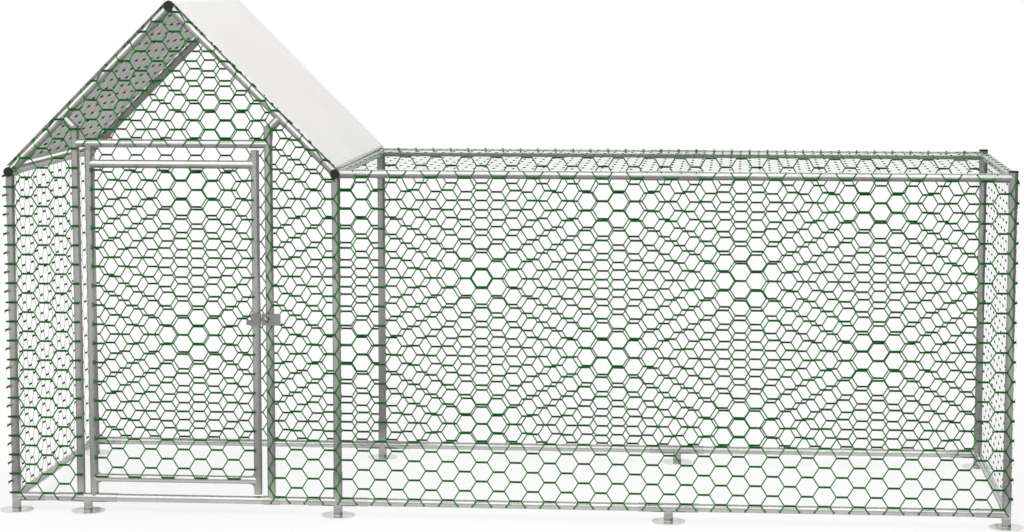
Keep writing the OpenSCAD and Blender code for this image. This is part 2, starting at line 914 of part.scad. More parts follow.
// The lug on the right door post, with two flats and a hole for a padlock
module padlock_lug() {
    nose_r = lug_d;
    hole_at = lug_reach - lug_nose - lug_hole_d / 2;
    color(zinc)
        difference() {
            translate([x_lug, y_front, hasp_z])
                rotate([90, 0, 0])
                    intersection() {
                        cylinder(r = lug_d / 2, h = lug_reach);
                        translate([-lug_d, -lug_flat_h / 2, 0])
                            cube([2 * lug_d, lug_flat_h, lug_reach]);
                        translate([0, 0, lug_reach - nose_r])
                            union() {
                                sphere(r = nose_r);
                                translate([0, 0, -lug_reach])
                                    cylinder(r = nose_r, h = lug_reach);
                            }
                    }
            rod([x_post_r, y_front, hasp_z - lug_d], [x_post_r, y_front, hasp_z + lug_d], sleeve_bore_r);
            translate([x_lug, y_front - hole_at, hasp_z - lug_d])
                cylinder(r = lug_hole_d / 2, h = 2 * lug_d);
        }
}

front_left_post();
front_mid_post();
front_right_post();
rear_left_post();
rear_mid_post();
rear_right_post();
left_door_post();
right_door_post();
door_header();
front_left_rafter();
front_right_rafter();
rear_left_rafter();
rear_right_rafter();
ridge_tube();
left_eave_tube();
right_eave_tube();
front_top_rails();
rear_top_rails();
end_top_rail();
left_bottom_rail();
end_bottom_rail();
door_sill();
front_bottom_rails();
rear_bottom_rails();
front_left_foot();
door_foot();
front_mid_foot();
front_run_foot();
front_right_foot();
rear_left_foot();
rear_mid_foot();
rear_run_foot();
rear_right_foot();
eave_connectors();
ridge_connectors();
corner_connectors();
rail_couplers();
door_post_tees();
end_caps();
connector_screws();
front_left_net();
front_right_net();
gable_net();
left_net();
rear_gable_net();
run_front_net();
run_rear_net();
run_end_net();
run_roof_net();
roof_net();
roof_cover();
hinge_stile();
latch_stile();
door_rails();
door_net();
hinge_pegs();
hasp_leaf();
hasp_strap();
hasp_pin();
padlock_lug();
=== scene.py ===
import json
import math

import bmesh
import bpy
from mathutils import Matrix, Vector


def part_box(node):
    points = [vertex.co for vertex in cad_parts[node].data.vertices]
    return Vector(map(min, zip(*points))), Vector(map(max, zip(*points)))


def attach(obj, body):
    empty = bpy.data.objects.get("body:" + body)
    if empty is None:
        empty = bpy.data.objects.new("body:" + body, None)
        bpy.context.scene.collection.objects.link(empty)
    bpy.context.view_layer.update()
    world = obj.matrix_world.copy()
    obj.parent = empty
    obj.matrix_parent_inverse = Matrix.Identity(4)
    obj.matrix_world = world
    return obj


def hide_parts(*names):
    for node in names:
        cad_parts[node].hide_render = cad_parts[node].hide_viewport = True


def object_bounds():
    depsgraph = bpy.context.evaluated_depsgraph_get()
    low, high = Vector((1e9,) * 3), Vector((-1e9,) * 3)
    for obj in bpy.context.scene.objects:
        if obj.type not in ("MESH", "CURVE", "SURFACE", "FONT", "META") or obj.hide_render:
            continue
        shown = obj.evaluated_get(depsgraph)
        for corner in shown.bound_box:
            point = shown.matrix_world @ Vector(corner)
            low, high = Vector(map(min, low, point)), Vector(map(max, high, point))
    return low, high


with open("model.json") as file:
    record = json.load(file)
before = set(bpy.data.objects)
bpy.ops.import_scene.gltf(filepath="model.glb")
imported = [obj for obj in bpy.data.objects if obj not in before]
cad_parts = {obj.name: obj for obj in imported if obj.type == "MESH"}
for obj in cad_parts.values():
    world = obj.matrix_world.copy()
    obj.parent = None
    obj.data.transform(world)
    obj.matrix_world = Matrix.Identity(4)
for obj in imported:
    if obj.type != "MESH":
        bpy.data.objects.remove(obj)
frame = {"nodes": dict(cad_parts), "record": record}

cad_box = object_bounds()


# Places taken from the frame
def middle(node):
    low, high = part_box(node)
    return (low + high) / 2


X_LEFT = middle("front_left_post").x
X_MID = middle("front_mid_post").x
X_RIGHT = middle("front_right_post").x
X_POST_L = middle("left_door_post").x
X_POST_R = middle("right_door_post").x
X_RIDGE = middle("ridge_tube").x
Y_FRONT = middle("front_left_post").y
Y_REAR = middle("rear_left_post").y
Z_RAIL = middle("end_bottom_rail").z
Z_EAVE = middle("end_top_rail").z
Z_RIDGE = middle("ridge_tube").z
Z_HEADER = middle("door_header").z
PITCH = math.atan2(Z_RIDGE - Z_EAVE, X_RIDGE - X_LEFT)
SLOPE = math.hypot(Z_RIDGE - Z_EAVE, X_RIDGE - X_LEFT)
FLOOR_Z = cad_box[0].z

# Pattern of the netting, in metres: the length of a twist, and the distances of its columns and rows
TWIST_L = 0.035
COLUMN = 0.05085
ROW = 0.05815
END_COLUMN = 0.0493
RUN_ROOF_ROW = 0.05825
SLOPE_COLUMN = 0.0502
SLOPE_ROW = 0.0799
DOOR_COLUMN = 0.0506
DOOR_ROW = 0.0581

# The middle of one twist of each net, in the net's own plane
WALL_START = Vector((-0.2152, 0.9577))
REAR_RISE = 0.0015
REAR_START = WALL_START + Vector((0, REAR_RISE))
LEFT_START = Vector((-0.004, 0.9618))
RUN_END_START = Vector((0.0, 0.9595))
RUN_ROOF_START = Vector((-0.090, 0.2306))
SLOPE_START = Vector((0.0612, 0.2385))
DOOR_START = Vector((-0.9148, 0.9813))

# The wire: half its width, how flat it lies, how two wires are wound together along a twist, and the share
# of a twist's painted shade at its bellies
WIRE_R = 0.0019
WIRE_FLAT = 0.12
WIND_R = 0.0019
WIND_SWELL = 1.1
WIND_FLAT = 0.3
WIND_TURNS = 3
WIND_STEPS = 12
WIND_EASE = 0.001
BELLY_SHADE = 0.5

# The bead of coat on a cut end: its length, how thick it is, where it is thickest, and its blunt end
TIP_L = 0.004
TIP_SWELL = 1.8
TIP_THICK = (0.75, 0.2)
TIP_BLUNT = 0.9

# Lengths too small to count: a scrap of wire, a wire's last step, a gap to merge, and a drift from an edge
SCRAP_L = 0.012
STEP_L = 1e-5
MERGE = 1e-6
PARALLEL = 1e-9

# The netting's distance from a tube's middle line, a quarter of the way round it, and an end cap's room
NET_OFF = 0.0156
QUARTER = NET_OFF * math.pi / 2
CAP_CLEAR = 0.0165

# How far the wires run past the middle of the tube that they are fixed to
TUCK = 0.008
RAFTER_TUCK = 0.019
RAIL_TUCK = 0.013

# How far the netting runs on past a corner post without bending round it
FRONT_LOOSE = 0.0165
END_LOOSE = 0.031

# How far the run's top row is drawn up to its rail, and the level above which a row is the top one
DRAWN_UP = 0.007
TOP_LEVEL = 1.0

# How far up its slope the roof's netting starts, and how far the door's stays inside its node
SLOPE_FOOT = 0.012
DOOR_IN_LOW = 0.003
DOOR_IN_LATCH = 0.004
DOOR_IN_HINGE = 0.0065

# The cover: its thickness, its height off the tubes' middle lines, its hem and its grid
COVER_T = 0.0012
COVER_LIE = 0.0176
HEM_L = 0.022
HEM_T = 0.0004
COVER_COLUMNS = 90
COVER_ROWS = 140

# The cover's waves: their height, and the angles that the broad and the fine ones turn through in a metre
WAVE_H = 0.0005
BROAD_ACROSS = 9.0
BROAD_ALONG = 7.0
BROAD_SHIFT = 1.0
FINE_ACROSS = 23.0
FINE_ALONG = 11.0
FINE_SHARE = 0.4

# The cover's cloth: the width of a woven tape, and its seam's distance from the edge, width and stitch
TAPE_W = 0.0032
SEAM_IN = 0.018
SEAM_W = 0.001
STITCH_L = 0.007

# The zinc's colours, the bend of its crystals, and the heights of the feet's dull legs and bright plates
TUBE_LIGHT = (0.512, 0.516, 0.486, 1)
TUBE_DARK = (0.403, 0.407, 0.383, 1)
SLEEVE_LIGHT = (0.440, 0.443, 0.421, 1)
SLEEVE_DARK = (0.340, 0.343, 0.326, 1)
FITTING_LIGHT = (0.34, 0.337, 0.33, 1)
FITTING_DARK = (0.24, 0.238, 0.233, 1)
CRYSTAL_BEND = (0.006, 0.006, 0.006)
LEG_ZINC = (0.31, 0.313, 0.298, 1)
LEG_TOP = 0.028
PLATE_ZINC = (0.69, 0.685, 0.67, 1)
PLATE_TOP = 0.005

# Colours of the caps, of the wire's outer side and of its darker inner side (painted shade), and of the
# cloth and its thread
CAP_BLACK = (0.005, 0.005, 0.005, 1)
CAP_BLOOM = (0.016, 0.016, 0.015, 1)
OUTER_DEEP = (0.002, 0.080, 0.005, 1)
OUTER_BRIGHT = (0.009, 0.390, 0.018, 1)
# The inner side's colours are painted shade: darker greens for the side of a wire that faces into the run.
INNER_SHADE_DEEP = (0.002, 0.030, 0.004, 1)
INNER_SHADE_BRIGHT = (0.009, 0.200, 0.016, 1)
CLOTH_SOILED = (0.78, 0.765, 0.74, 1)
CLOTH_CLEAN = (0.86, 0.85, 0.83, 1)
THREAD = (0.64, 0.63, 0.60, 1)

# The studio's floor: its size, its paint as it is lit, seen and mirrored, and where and how much it glows
FLOOR_W = 120.0
FLOOR_DROP = 0.0005
FLOOR_REACH = 10.0
PAINT_LIT = 0.8
PAINT_SEEN = 0.92
PAINT_MIRRORED = 0.3
SEEN_GLOW = 0.8
HORIZON_GLOW = 0.65
CLOSE_GLOW = 1.25

# The light of the sky that reaches the object, and the point that the lamps face
SKY_LIGHT = 0.55
LAMP_AIM = (0, 0, 0.6)

# The camera, fitted to the corners of the frame in the photograph
LENS = 91.67
SENSOR_W = 36.0
CAMERA_PLACE = (0.7129, -8.1340, 1.6017)
CAMERA_DOWN = 0.1090
CAMERA_TURN = 0.0895


# Putting things into the scene
def put(name, data):
    """Makes an object of a mesh, a curve, a light or a camera."""
    held = bpy.data.objects.new(name, data)
    bpy.context.scene.collection.objects.link(held)
    return held


def put_mesh(name, made, material):
    """Makes an object of a finished bmesh, in its material."""
    mesh = bpy.data.meshes.new(name)
    made.to_mesh(mesh)
    made.free()
    mesh.materials.append(material)
    return put(name, mesh)


# Finishes
def grey(level):
    return (level, level, level, 1)


class Signal:
    """A value in a node tree. Arithmetic with it adds Math nodes to its tree."""

    def __init__(self, nodes, socket):
        self.nodes = nodes
        self.socket = socket

    def maths(self, operation, first, second):
        return self.nodes.add("ShaderNodeMath", {"operation": operation}, {0: first, 1: second})

    def sine(self):
        return self.nodes.add("ShaderNodeMath", {"operation": "SINE"}, {0: self})

    def __add__(self, other):
        return self.maths("ADD", self, other)

    def __sub__(self, other):
        return self.maths("SUBTRACT", self, other)

    def __rsub__(self, other):
        return self.maths("SUBTRACT", other, self)

    def __mul__(self, other):
        return self.maths("MULTIPLY", self, other)

    __radd__ = __add__
    __rmul__ = __mul__


class Nodes:
    """A node tree, of a material or of the world."""

    def __init__(self, tree):
        self.tree = tree

    def feed(self, socket, value):
        if isinstance(value, Signal):
            self.tree.links.new(value.socket, socket)
        else:
            socket.default_value = value

    def add(self, kind, settings=None, sockets=None, output=0):
        node = self.tree.nodes.new(kind)
        for name, value in (settings or {}).items():
            if name == "stops":
                self.set_stops(node.color_ramp, value)
            else:
                setattr(node, name, value)
        for name, value in (sockets or {}).items():
            self.feed(node.inputs[name], value)
        return Signal(self, node.outputs[output])

    def set_stops(self, ramp, stops):
        for element, (place, level) in zip(ramp.elements, stops):
            element.position = place
            element.color = grey(level)

    def rays(self, kind):
        return self.add("ShaderNodeLightPath", output=kind)


class Finish(Nodes):
    """A node material, built from its surface patterns to its shader."""

    def __init__(self, name):
        self.material = bpy.data.materials.new(name)
        self.material.use_nodes = True
        super().__init__(self.material.node_tree)
        self.shader = self.tree.nodes["Principled BSDF"]

    def place(self, output="Object"):
        return self.add("ShaderNodeTexCoord", output=output)

    def mark(self, name):
        return self.add("ShaderNodeAttribute", {"attribute_name": name}, output="Fac")

    def noise(self, where, scale, detail=2.0, roughness=0.5):
        sockets = {"Vector": where, "Scale": scale, "Detail": detail, "Roughness": roughness}
        return self.add("ShaderNodeTexNoise", None, sockets)

    def ramp(self, value, low, high):
        return self.add("ShaderNodeValToRGB", {"stops": [(low, 0.0), (high, 1.0)]}, {"Fac": value})

    def part(self, vector, axis):
        return self.add("ShaderNodeSeparateXYZ", None, {"Vector": vector}, output=axis)

    def mix(self, first, second, amount):
        """Mixes two colours. It goes by the sockets' numbers, as several of them share a name."""
        return self.add("ShaderNodeMix", {"data_type": "RGBA"}, {0: amount, 6: first, 7: second}, output=2)

    def bump(self, height, strength, distance):
        sockets = {"Height": height, "Strength": strength, "Distance": distance}
        return self.add("ShaderNodeBump", None, sockets)

    def surface(self, **sockets):
        for name, value in sockets.items():
            self.feed(self.shader.inputs[name.replace("_", " ")], value)
        return self.material


def zinc(name, light, dark, crystal, metal, gloss):
    """Hot-dipped zinc: crystals that catch the light differently, with dull patches and a fine grain.
    The feet's legs are duller, and the plates under them are of brighter sheet."""
    finish = Finish(name)
    where = finish.place()
    warp = finish.noise(where, scale=crystal * 0.6)
    bent = finish.add("ShaderNodeVectorMath", {"operation": "MULTIPLY_ADD"},
                      {0: warp, 1: CRYSTAL_BEND, 2: where})
    flakes = finish.add("ShaderNodeTexVoronoi", None, {"Vector": bent, "Scale": crystal}, output="Color")
    flake = finish.add("ShaderNodeSeparateColor", None, {"Color": flakes}, output="Red")
    patches = finish.ramp(finish.noise(where, scale=5.0, detail=4.0, roughness=0.6), low=0.35, high=0.7)
    grain = finish.noise(where, scale=900.0)
    tone = flake * 0.35 + patches * 0.55 + grain * 0.1
    relief = flake * 0.35 + grain * 0.65
    height = finish.part(where, "Z")
    leg = 1 - finish.ramp(height * (1 / LEG_TOP), low=0.9, high=1.0)
    plate = 1 - finish.ramp(height * (1 / PLATE_TOP), low=0.8, high=1.0)
    coat = finish.mix(finish.mix(dark, light, tone), LEG_ZINC, leg * (0.8 + tone * 0.2))
    return finish.surface(
        Base_Color=finish.mix(coat, PLATE_ZINC, plate * (0.9 + tone * 0.1)),
        Metallic=metal,
        Roughness=gloss + flake * 0.05 + patches * 0.06,
        Normal=finish.bump(relief, strength=0.04, distance=0.0003),
    )


def moulded_black():
    """Moulded plastic: nearly black, with a grain and a faint bloom."""
    finish = Finish("cap_black")
    where = finish.place()
    grain = finish.noise(where, scale=1400.0, detail=3.0)
    bloom = finish.noise(where, scale=45.0, detail=3.0)
    return finish.surface(
        Base_Color=finish.mix(CAP_BLACK, CAP_BLOOM, bloom),
        Roughness=0.4 + bloom * 0.2,
        Specular_IOR_Level=0.25,
        Normal=finish.bump(grain, strength=0.35, distance=0.0003),
    )


def coated_wire():
    """Plastic-coated wire: dusty and uneven along its length. Painted shade darkens each wire's side that
    faces into the run, and darkens the twists, deepest in colour where two wires cross."""
    finish = Finish("net_green")
    where = finish.place()
    dust = finish.ramp(finish.noise(where, scale=14.0, detail=4.0, roughness=0.6), low=0.4, high=0.75)
    skin = finish.noise(where, scale=700.0)
    # The twists carry painted shade, darkest where their wires cross.
    tone = (dust * 0.5 + skin * 0.3 + 0.2) * (1 - finish.mark("wound"))
    # Painted shade on the side of each wire that faces into the run.
    inner = finish.ramp(finish.mark("inner"), low=0.45, high=0.7)
    outer_green = finish.mix(OUTER_DEEP, OUTER_BRIGHT, tone)
    inner_green = finish.mix(INNER_SHADE_DEEP, INNER_SHADE_BRIGHT, tone)
    return finish.surface(
        Base_Color=finish.mix(outer_green, inner_green, inner),
        Roughness=0.45 + dust * 0.2,
        Specular_IOR_Level=0.08,
        Normal=finish.bump(skin, strength=0.3, distance=0.0003),
    )


def woven_cover():
    """Coated cloth: flat tapes woven over and under, a little soiled, with stitches along its hem."""
    finish = Finish("cover_cloth")
    flat = finish.place("UV")
    across = finish.part(flat, "X")
    along = finish.part(flat, "Y")

    def ribs(value, pitch):
        return (value * (2 * math.pi / pitch)).sine() * 0.5 + 0.5

    weave = ribs(across, TAPE_W) * ribs(along, TAPE_W)
    off_seam = (finish.mark("edge") - SEAM_IN) * (1 / SEAM_W)
    seam = 1 - finish.ramp(off_seam * off_seam, low=0.3, high=0.9)
    stitch = seam * finish.ramp(ribs(across + along, STITCH_L), low=0.25, high=0.5)
    where = finish.place()
    clean = finish.ramp(finish.noise(where, scale=3.0, detail=5.0, roughness=0.6), low=0.3, high=0.75)
    fibre = finish.noise(where, scale=260.0, detail=3.0)
    tone = clean * 0.65 + weave * 0.05 + fibre * 0.3
    cloth = finish.mix(CLOTH_SOILED, CLOTH_CLEAN, tone)
    return finish.surface(
        Base_Color=finish.mix(cloth, THREAD, stitch),
        Roughness=0.55 + weave * 0.05 + clean * 0.1,
        Specular_IOR_Level=0.2,
        Normal=finish.bump(weave * 0.1 - seam * 0.6 + stitch, strength=0.25, distance=0.0004),
    )


finishes = {
    "tube": zinc("tube_zinc", TUBE_LIGHT, TUBE_DARK, crystal=95.0, metal=0.62, gloss=0.05),
    "connector": zinc("connector_zinc", SLEEVE_LIGHT, SLEEVE_DARK, crystal=150.0, metal=0.6, gloss=0.07),
    "fittings": zinc("fitting_zinc", FITTING_LIGHT, FITTING_DARK, crystal=240.0, metal=0.6, gloss=0.28),
    "cap": moulded_black(),
    "netting": coated_wire(),
    "cover": woven_cover(),
}


def dress_frame():
    for part in frame["record"]["subparts"]:
        for held in frame["nodes"][part["node"]].material_slots:
            held.material = finishes[part["material_slot"]]


# Netting
class Sheet:
    """A flat run of netting between tubes: its plane, its pattern and its edges. Each edge has its first
    corner, how far the wires are tucked past it, and whether they end there in a bead of coat."""

    def __init__(self, origin, along, across, outward, start, edges, column=COLUMN, row=ROW, caps=(),
                 drawn_up=0.0):
        self.origin = Vector(origin)
        self.along = Vector(along)
        self.across = Vector(across)
        self.outward = Vector(outward)
        self.start = start
        self.column = column
        self.row = row
        self.drawn_up = drawn_up
        self.caps = [Vector(cap) for cap in caps]
        corners = [Vector(corner) for corner, tuck, tip in edges]
        self.edges = []
        for place, (corner, tuck, tip) in enumerate(edges):
            ahead = (corners[(place + 1) % len(corners)] - corners[place]).normalized()
            out = Vector((ahead.y, -ahead.x))
            self.edges.append((out, out.dot(corners[place]), tuck, tip))
        reach = max(tuck for out, line, tuck, tip in self.edges) + self.column
        self.low = Vector((min(c.x for c in corners) - reach, min(c.y for c in corners) - reach))
        self.high = Vector((max(c.x for c in corners) + reach, max(c.y for c in corners) + reach))

    def point(self, flat, off):
        """The place of a point of the flat pattern, carried round the tube where it is past an edge."""
        out, past = None, 0.0
        for edge, line, tuck, tip in self.edges:
            if edge.dot(flat) - line > past:
                out, past = edge, edge.dot(flat) - line
        height = NET_OFF + off
        if out is None:
            return self.origin + self.along * flat.x + self.across * flat.y + self.outward * height
        foot = flat - out * past
        turn = past / NET_OFF
        sideways = self.along * out.x + self.across * out.y
        axis = self.origin + self.along * foot.x + self.across * foot.y
        return axis + self.outward * (height * math.cos(turn)) + sideways * (height * math.sin(turn))

    def wire(self, course, side):
        """One wire of the pattern: wound with the wire above it, then with the wire below it, by turns."""
        first = math.floor((self.low.x - self.start.x) / self.column)
        last = math.ceil((self.high.x - self.start.x) / self.column)
        path = []
        for place in range(first, last + 1):
            odd = place % 2
            level = self.start.y + self.row * (course + side * odd / 2)
            if level > TOP_LEVEL:
                level += self.drawn_up
            middle_x = self.start.x + self.column * place
            phase = 0.0 if (side > 0) != bool(odd) else math.pi
            for step in range(WIND_STEPS + 1):
                share = step / WIND_STEPS
                turn = phase + 2 * math.pi * WIND_TURNS * share
                flat = Vector((middle_x + TWIST_L * (share - 0.5), level + WIND_R * math.cos(turn)))
                path.append((flat, WIND_R * math.sin(turn)))
        return path

    def from_twist(self, x):
        """The distance from the middle of the nearest twist, along it."""
        return (x - self.start.x + self.column / 2) % self.column - self.column / 2

    def is_wound(self, x):
        """Says whether two wires are wound together here."""
        return abs(self.from_twist(x)) < TWIST_L / 2 - WIND_EASE

    def crossing_shade(self, x):
        """How deep the twist's painted shade lies in the winding: 1 where its wires cross, and BELLY_SHADE
        where they stand apart.
        """
        turn = 2 * math.pi * WIND_TURNS * (self.from_twist(x) / TWIST_L + 0.5)
        return 1.0 - (1.0 - BELLY_SHADE) * math.cos(turn) ** 2

    def trim(self, path):
        """The stretches of a path that lie inside the edges and clear of the end caps, each with whether
        its start and its end have a bead."""
        stretches = []
        held = []
        for (flat, off), (next_flat, next_off) in zip(path, path[1:]):
            enter, leave, enter_tip, leave_tip = 0.0, 1.0, None, None
            step = next_flat - flat
            for out, line, tuck, tip in self.edges:
                here = out.dot(flat) - line - tuck
                rate = out.dot(step)
                if abs(rate) < PARALLEL:
                    if here > 0:
                        leave = -1.0
                    continue
                cross = -here / rate
                if rate > 0 and cross < leave:
                    leave, leave_tip = cross, tip
                if rate < 0 and cross > enter:
                    enter, enter_tip = cross, tip
            if leave <= enter or any((flat - cap).length < CAP_CLEAR for cap in self.caps):
                if held:
                    stretches.append((held, False, False))
                    held = []
                continue
            if not held:
                held = [(flat + step * enter, off + (next_off - off) * enter)]
                held_tip = enter_tip
            held.append((flat + step * leave, off + (next_off - off) * leave))
            if leave < 1.0:
                stretches.append((held, held_tip, leave_tip))
                held = []
        if held:
            stretches.append((held, held_tip, False))
        return stretches

    def wires(self):
        """All the wires of the sheet, without the scraps that a cut leaves loose."""
        first = math.floor((self.low.y - self.start.y) / self.row)
        last = math.ceil((self.high.y - self.start.y) / self.row)
        found = []
        for course in range(first, last + 1):
            for side in (1, -1):
                found.extend(self.trim(self.wire(course, side)))
        return [cut for cut in found if (cut[0][-1][0] - cut[0][0][0]).length > SCRAP_L]


def swell_tip(points):
    """Adds the thick bead of coat at the cut end of a wire."""
    end = points[-1][0]
    back = points[-2][0] - end
    if back.length < STEP_L:
        return points
    back.normalize()
    bead = [(end + back * TIP_L * share, TIP_SWELL) for share in TIP_THICK]
    kept = [held for held in points[:-1] if (held[0] - end).length > TIP_L]
    return kept + [(end + back * TIP_L, 1.0)] + bead + [(end, TIP_BLUNT)]


def lay_flat(name, sheet):
    """The sheet's wires as a mesh in the flat pattern: along, across, and height off its plane."""
    curve = bpy.data.curves.new(name, "CURVE")
    curve.dimensions = "3D"
    curve.twist_mode = "Z_UP"
    curve.bevel_depth = WIRE_R
    curve.bevel_resolution = 0
    curve.use_fill_caps = True
    for path, start_tip, end_tip in sheet.wires():
        points = [(Vector((*flat, off)), 1.0) for flat, off in path]
        if end_tip:
            points = swell_tip(points)
        if start_tip:
            points = swell_tip(points[::-1])
        spline = curve.splines.new("POLY")
        spline.points.add(len(points) - 1)
        for held, (place, swell) in zip(spline.points, points):
            held.co = (*place, 1.0)
            held.radius = swell * (WIND_SWELL if sheet.is_wound(place.x) else 1.0)
    maker = put(name, curve)
    graph = bpy.context.evaluated_depsgraph_get()
    mesh = bpy.data.meshes.new_from_object(maker.evaluated_get(graph))
    bpy.data.objects.remove(maker)
    return mesh


def hang(mesh, sheet):
    """Carries a flat pattern onto its tubes and flattens its wires. The painted shade of its twists,
    deepest where the wires cross, and of the wires' inner sides is marked for the finish."""
    wound = mesh.attributes.new("wound", "FLOAT", "POINT").data
    inner = mesh.attributes.new("inner", "FLOAT", "POINT").data
    for vert, depth, side in zip(mesh.vertices, wound, inner):
        paired = sheet.is_wound(vert.co.x)
        # Painted shade of the twists: 1 where the wires cross, less at the bellies, none off the twists.
        depth.value = sheet.crossing_shade(vert.co.x) if paired else 0.0
        # Painted shade mask: 1 on the wire's side that faces into the run, 0 on its outer side.
        side.value = 0.5 - vert.co.z / (2 * WIRE_R)
        vert.co = sheet.point(vert.co.xy, vert.co.z * (WIND_FLAT if paired else WIRE_FLAT))
    if sheet.along.cross(sheet.across).dot(sheet.outward) < 0:
        mesh.flip_normals()


def weave(name, body, node, *sheets):
    """Makes a piece of netting from its sheets."""
    made = bmesh.new()
    for sheet in sheets:
        flat = lay_flat(name, sheet)
        hang(flat, sheet)
        made.from_mesh(flat)
        bpy.data.meshes.remove(flat)
    bmesh.ops.remove_doubles(made, verts=made.verts, dist=MERGE)
    piece = put_mesh(name, made, finishes["netting"])
    piece.data.shade_smooth()
    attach(piece, body)
    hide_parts(node)


# The planes of the front and rear walls
FRONT = dict(origin=(0, Y_FRONT, 0), along=(1, 0, 0), across=(0, 0, 1), outward=(0, -1, 0))
REAR = dict(origin=(0, Y_REAR, 0), along=(1, 0, 0), across=(0, 0, 1), outward=(0, 1, 0))


def rafter_z(x):
    """The height of the rafters' middle lines."""
    return Z_RIDGE - abs(x - X_RIDGE) * math.tan(PITCH)


def end_sheet(x, outward, start):
    """The netting of the left end or of the run's far end."""
    return Sheet(
        origin=(x, 0, 0), along=(0, 1, 0), across=(0, 0, 1), outward=(outward, 0, 0),
        start=start, column=END_COLUMN,
        edges=[
            ((Y_FRONT - END_LOOSE, Z_RAIL), TUCK, True),
            ((Y_REAR, Z_RAIL), TUCK, True),
            ((Y_REAR, Z_EAVE), RAIL_TUCK, False),
            ((Y_FRONT - END_LOOSE, Z_EAVE), 0.0, True),
        ],
    )


def run_side(wall, start, right_tuck, right_tip, drawn_up):
    """The netting of the low run's front or rear."""
    return Sheet(
        **wall, start=start, drawn_up=drawn_up,
        edges=[
            ((X_MID, Z_RAIL), TUCK, True),
            ((X_RIGHT, Z_RAIL), right_tuck, right_tip),
            ((X_RIGHT, Z_EAVE), RAIL_TUCK, False),
            ((X_MID, Z_EAVE), 0.0, False),
        ],
        caps=[(X_MID, Z_EAVE)],
    )


def front_nets():
    x_loose = X_LEFT - FRONT_LOOSE
    left = Sheet(
        **FRONT, start=WALL_START,
        edges=[
            ((x_loose, Z_RAIL), TUCK, True),
            ((X_POST_L, Z_RAIL), TUCK, True),
            ((X_POST_L, rafter_z(X_POST_L)), RAFTER_TUCK, True),
            ((x_loose, rafter_z(x_loose)), 0.0, False),
        ],
        caps=[(X_LEFT, Z_EAVE)],
    )
    right = Sheet(
        **FRONT, start=WALL_START,
        edges=[
            ((X_POST_R, Z_RAIL), TUCK, True),
            ((X_MID, Z_RAIL), 0.0, False),
            ((X_MID, Z_EAVE), RAFTER_TUCK, True),
            ((X_POST_R, rafter_z(X_POST_R)), TUCK, True),
        ],
        caps=[(X_MID, Z_EAVE)],
    )
    gable = Sheet(
        **FRONT, start=WALL_START,
        edges=[
            ((X_POST_L, Z_HEADER), TUCK, True),
            ((X_POST_R, Z_HEADER), TUCK, True),
            ((X_POST_R, rafter_z(X_POST_R)), RAFTER_TUCK, True),
            ((X_RIDGE, Z_RIDGE), RAFTER_TUCK, True),
            ((X_POST_L, rafter_z(X_POST_L)), TUCK, True),
        ],
        caps=[(X_RIDGE, Z_RIDGE)],
    )
    run = run_side(FRONT, WALL_START, right_tuck=QUARTER, right_tip=False, drawn_up=DRAWN_UP)
    weave("front_left_wire", "frame", "front_left_net", left)
    weave("front_right_wire", "frame", "front_right_net", right)
    weave("gable_wire", "frame", "gable_net", gable)
    weave("run_front_wire", "frame", "run_front_net", run)


def rear_nets():
    gable = Sheet(
        **REAR, start=REAR_START,
        edges=[
            ((X_LEFT, Z_RAIL), TUCK, True),
            ((X_MID, Z_RAIL), 0.0, False),
            ((X_MID, Z_EAVE), RAFTER_TUCK, True),
            ((X_RIDGE, Z_RIDGE), RAFTER_TUCK, True),
            ((X_LEFT, Z_EAVE), TUCK, True),
        ],
        caps=[(X_LEFT, Z_EAVE), (X_MID, Z_EAVE), (X_RIDGE, Z_RIDGE)],
    )
    run = run_side(REAR, REAR_START, right_tuck=TUCK, right_tip=True, drawn_up=0.0)
    weave("rear_gable_wire", "frame", "rear_gable_net", gable)
    weave("run_rear_wire", "frame", "run_rear_net", run)


def end_nets():
    left = end_sheet(X_LEFT, outward=-1, start=LEFT_START)
    right = end_sheet(X_RIGHT, outward=1, start=RUN_END_START)
    weave("left_wire", "frame", "left_net", left)
    weave("run_end_wire", "frame", "run_end_net", right)


def roof_nets():
    start_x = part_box("run_roof_net")[0].x
    run = Sheet(
        origin=(0, 0, Z_EAVE), along=(0, 1, 0), across=(1, 0, 0), outward=(0, 0, 1),
        start=RUN_ROOF_START, row=RUN_ROOF_ROW,
        edges=[
            ((Y_FRONT, start_x), 0.0, False),
            ((Y_REAR, start_x), 0.0, False),
            ((Y_REAR, X_RIGHT), TUCK, False),
            ((Y_FRONT, X_RIGHT), 0.0, False),
        ],
        caps=[(Y_FRONT, X_RIGHT), (Y_REAR, X_RIGHT)],
    )
    weave("run_roof_wire", "frame", "run_roof_net", run)
    slopes = []
    for side, x_eave in ((1, X_LEFT), (-1, X_MID)):
        slopes.append(Sheet(
            origin=(x_eave, 0, Z_EAVE), along=(0, 1, 0),
            across=(side * math.cos(PITCH), 0, math.sin(PITCH)),
            outward=(-side * math.sin(PITCH), 0, math.cos(PITCH)),
            start=SLOPE_START, column=SLOPE_COLUMN, row=SLOPE_ROW,
            edges=[
                ((Y_FRONT, SLOPE_FOOT), 0.0, False),
                ((Y_REAR, SLOPE_FOOT), TUCK, True),
                ((Y_REAR, SLOPE), NET_OFF * PITCH, False),
                ((Y_FRONT, SLOPE), TUCK, True),
            ],
        ))
    weave("roof_wire", "frame", "roof_net", *slopes)


def door_net():
    low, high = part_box("door_net")
    door = Sheet(
        **FRONT, start=DOOR_START, column=DOOR_COLUMN, row=DOOR_ROW,
        edges=[
            ((low.x, low.z), -DOOR_IN_LOW, True),
            ((high.x, low.z), -DOOR_IN_LATCH, False),
            ((high.x, high.z), -TUCK, True),
            ((low.x, high.z), -DOOR_IN_HINGE, True),
        ],
    )
    weave("door_wire", "door", "door_net", door)


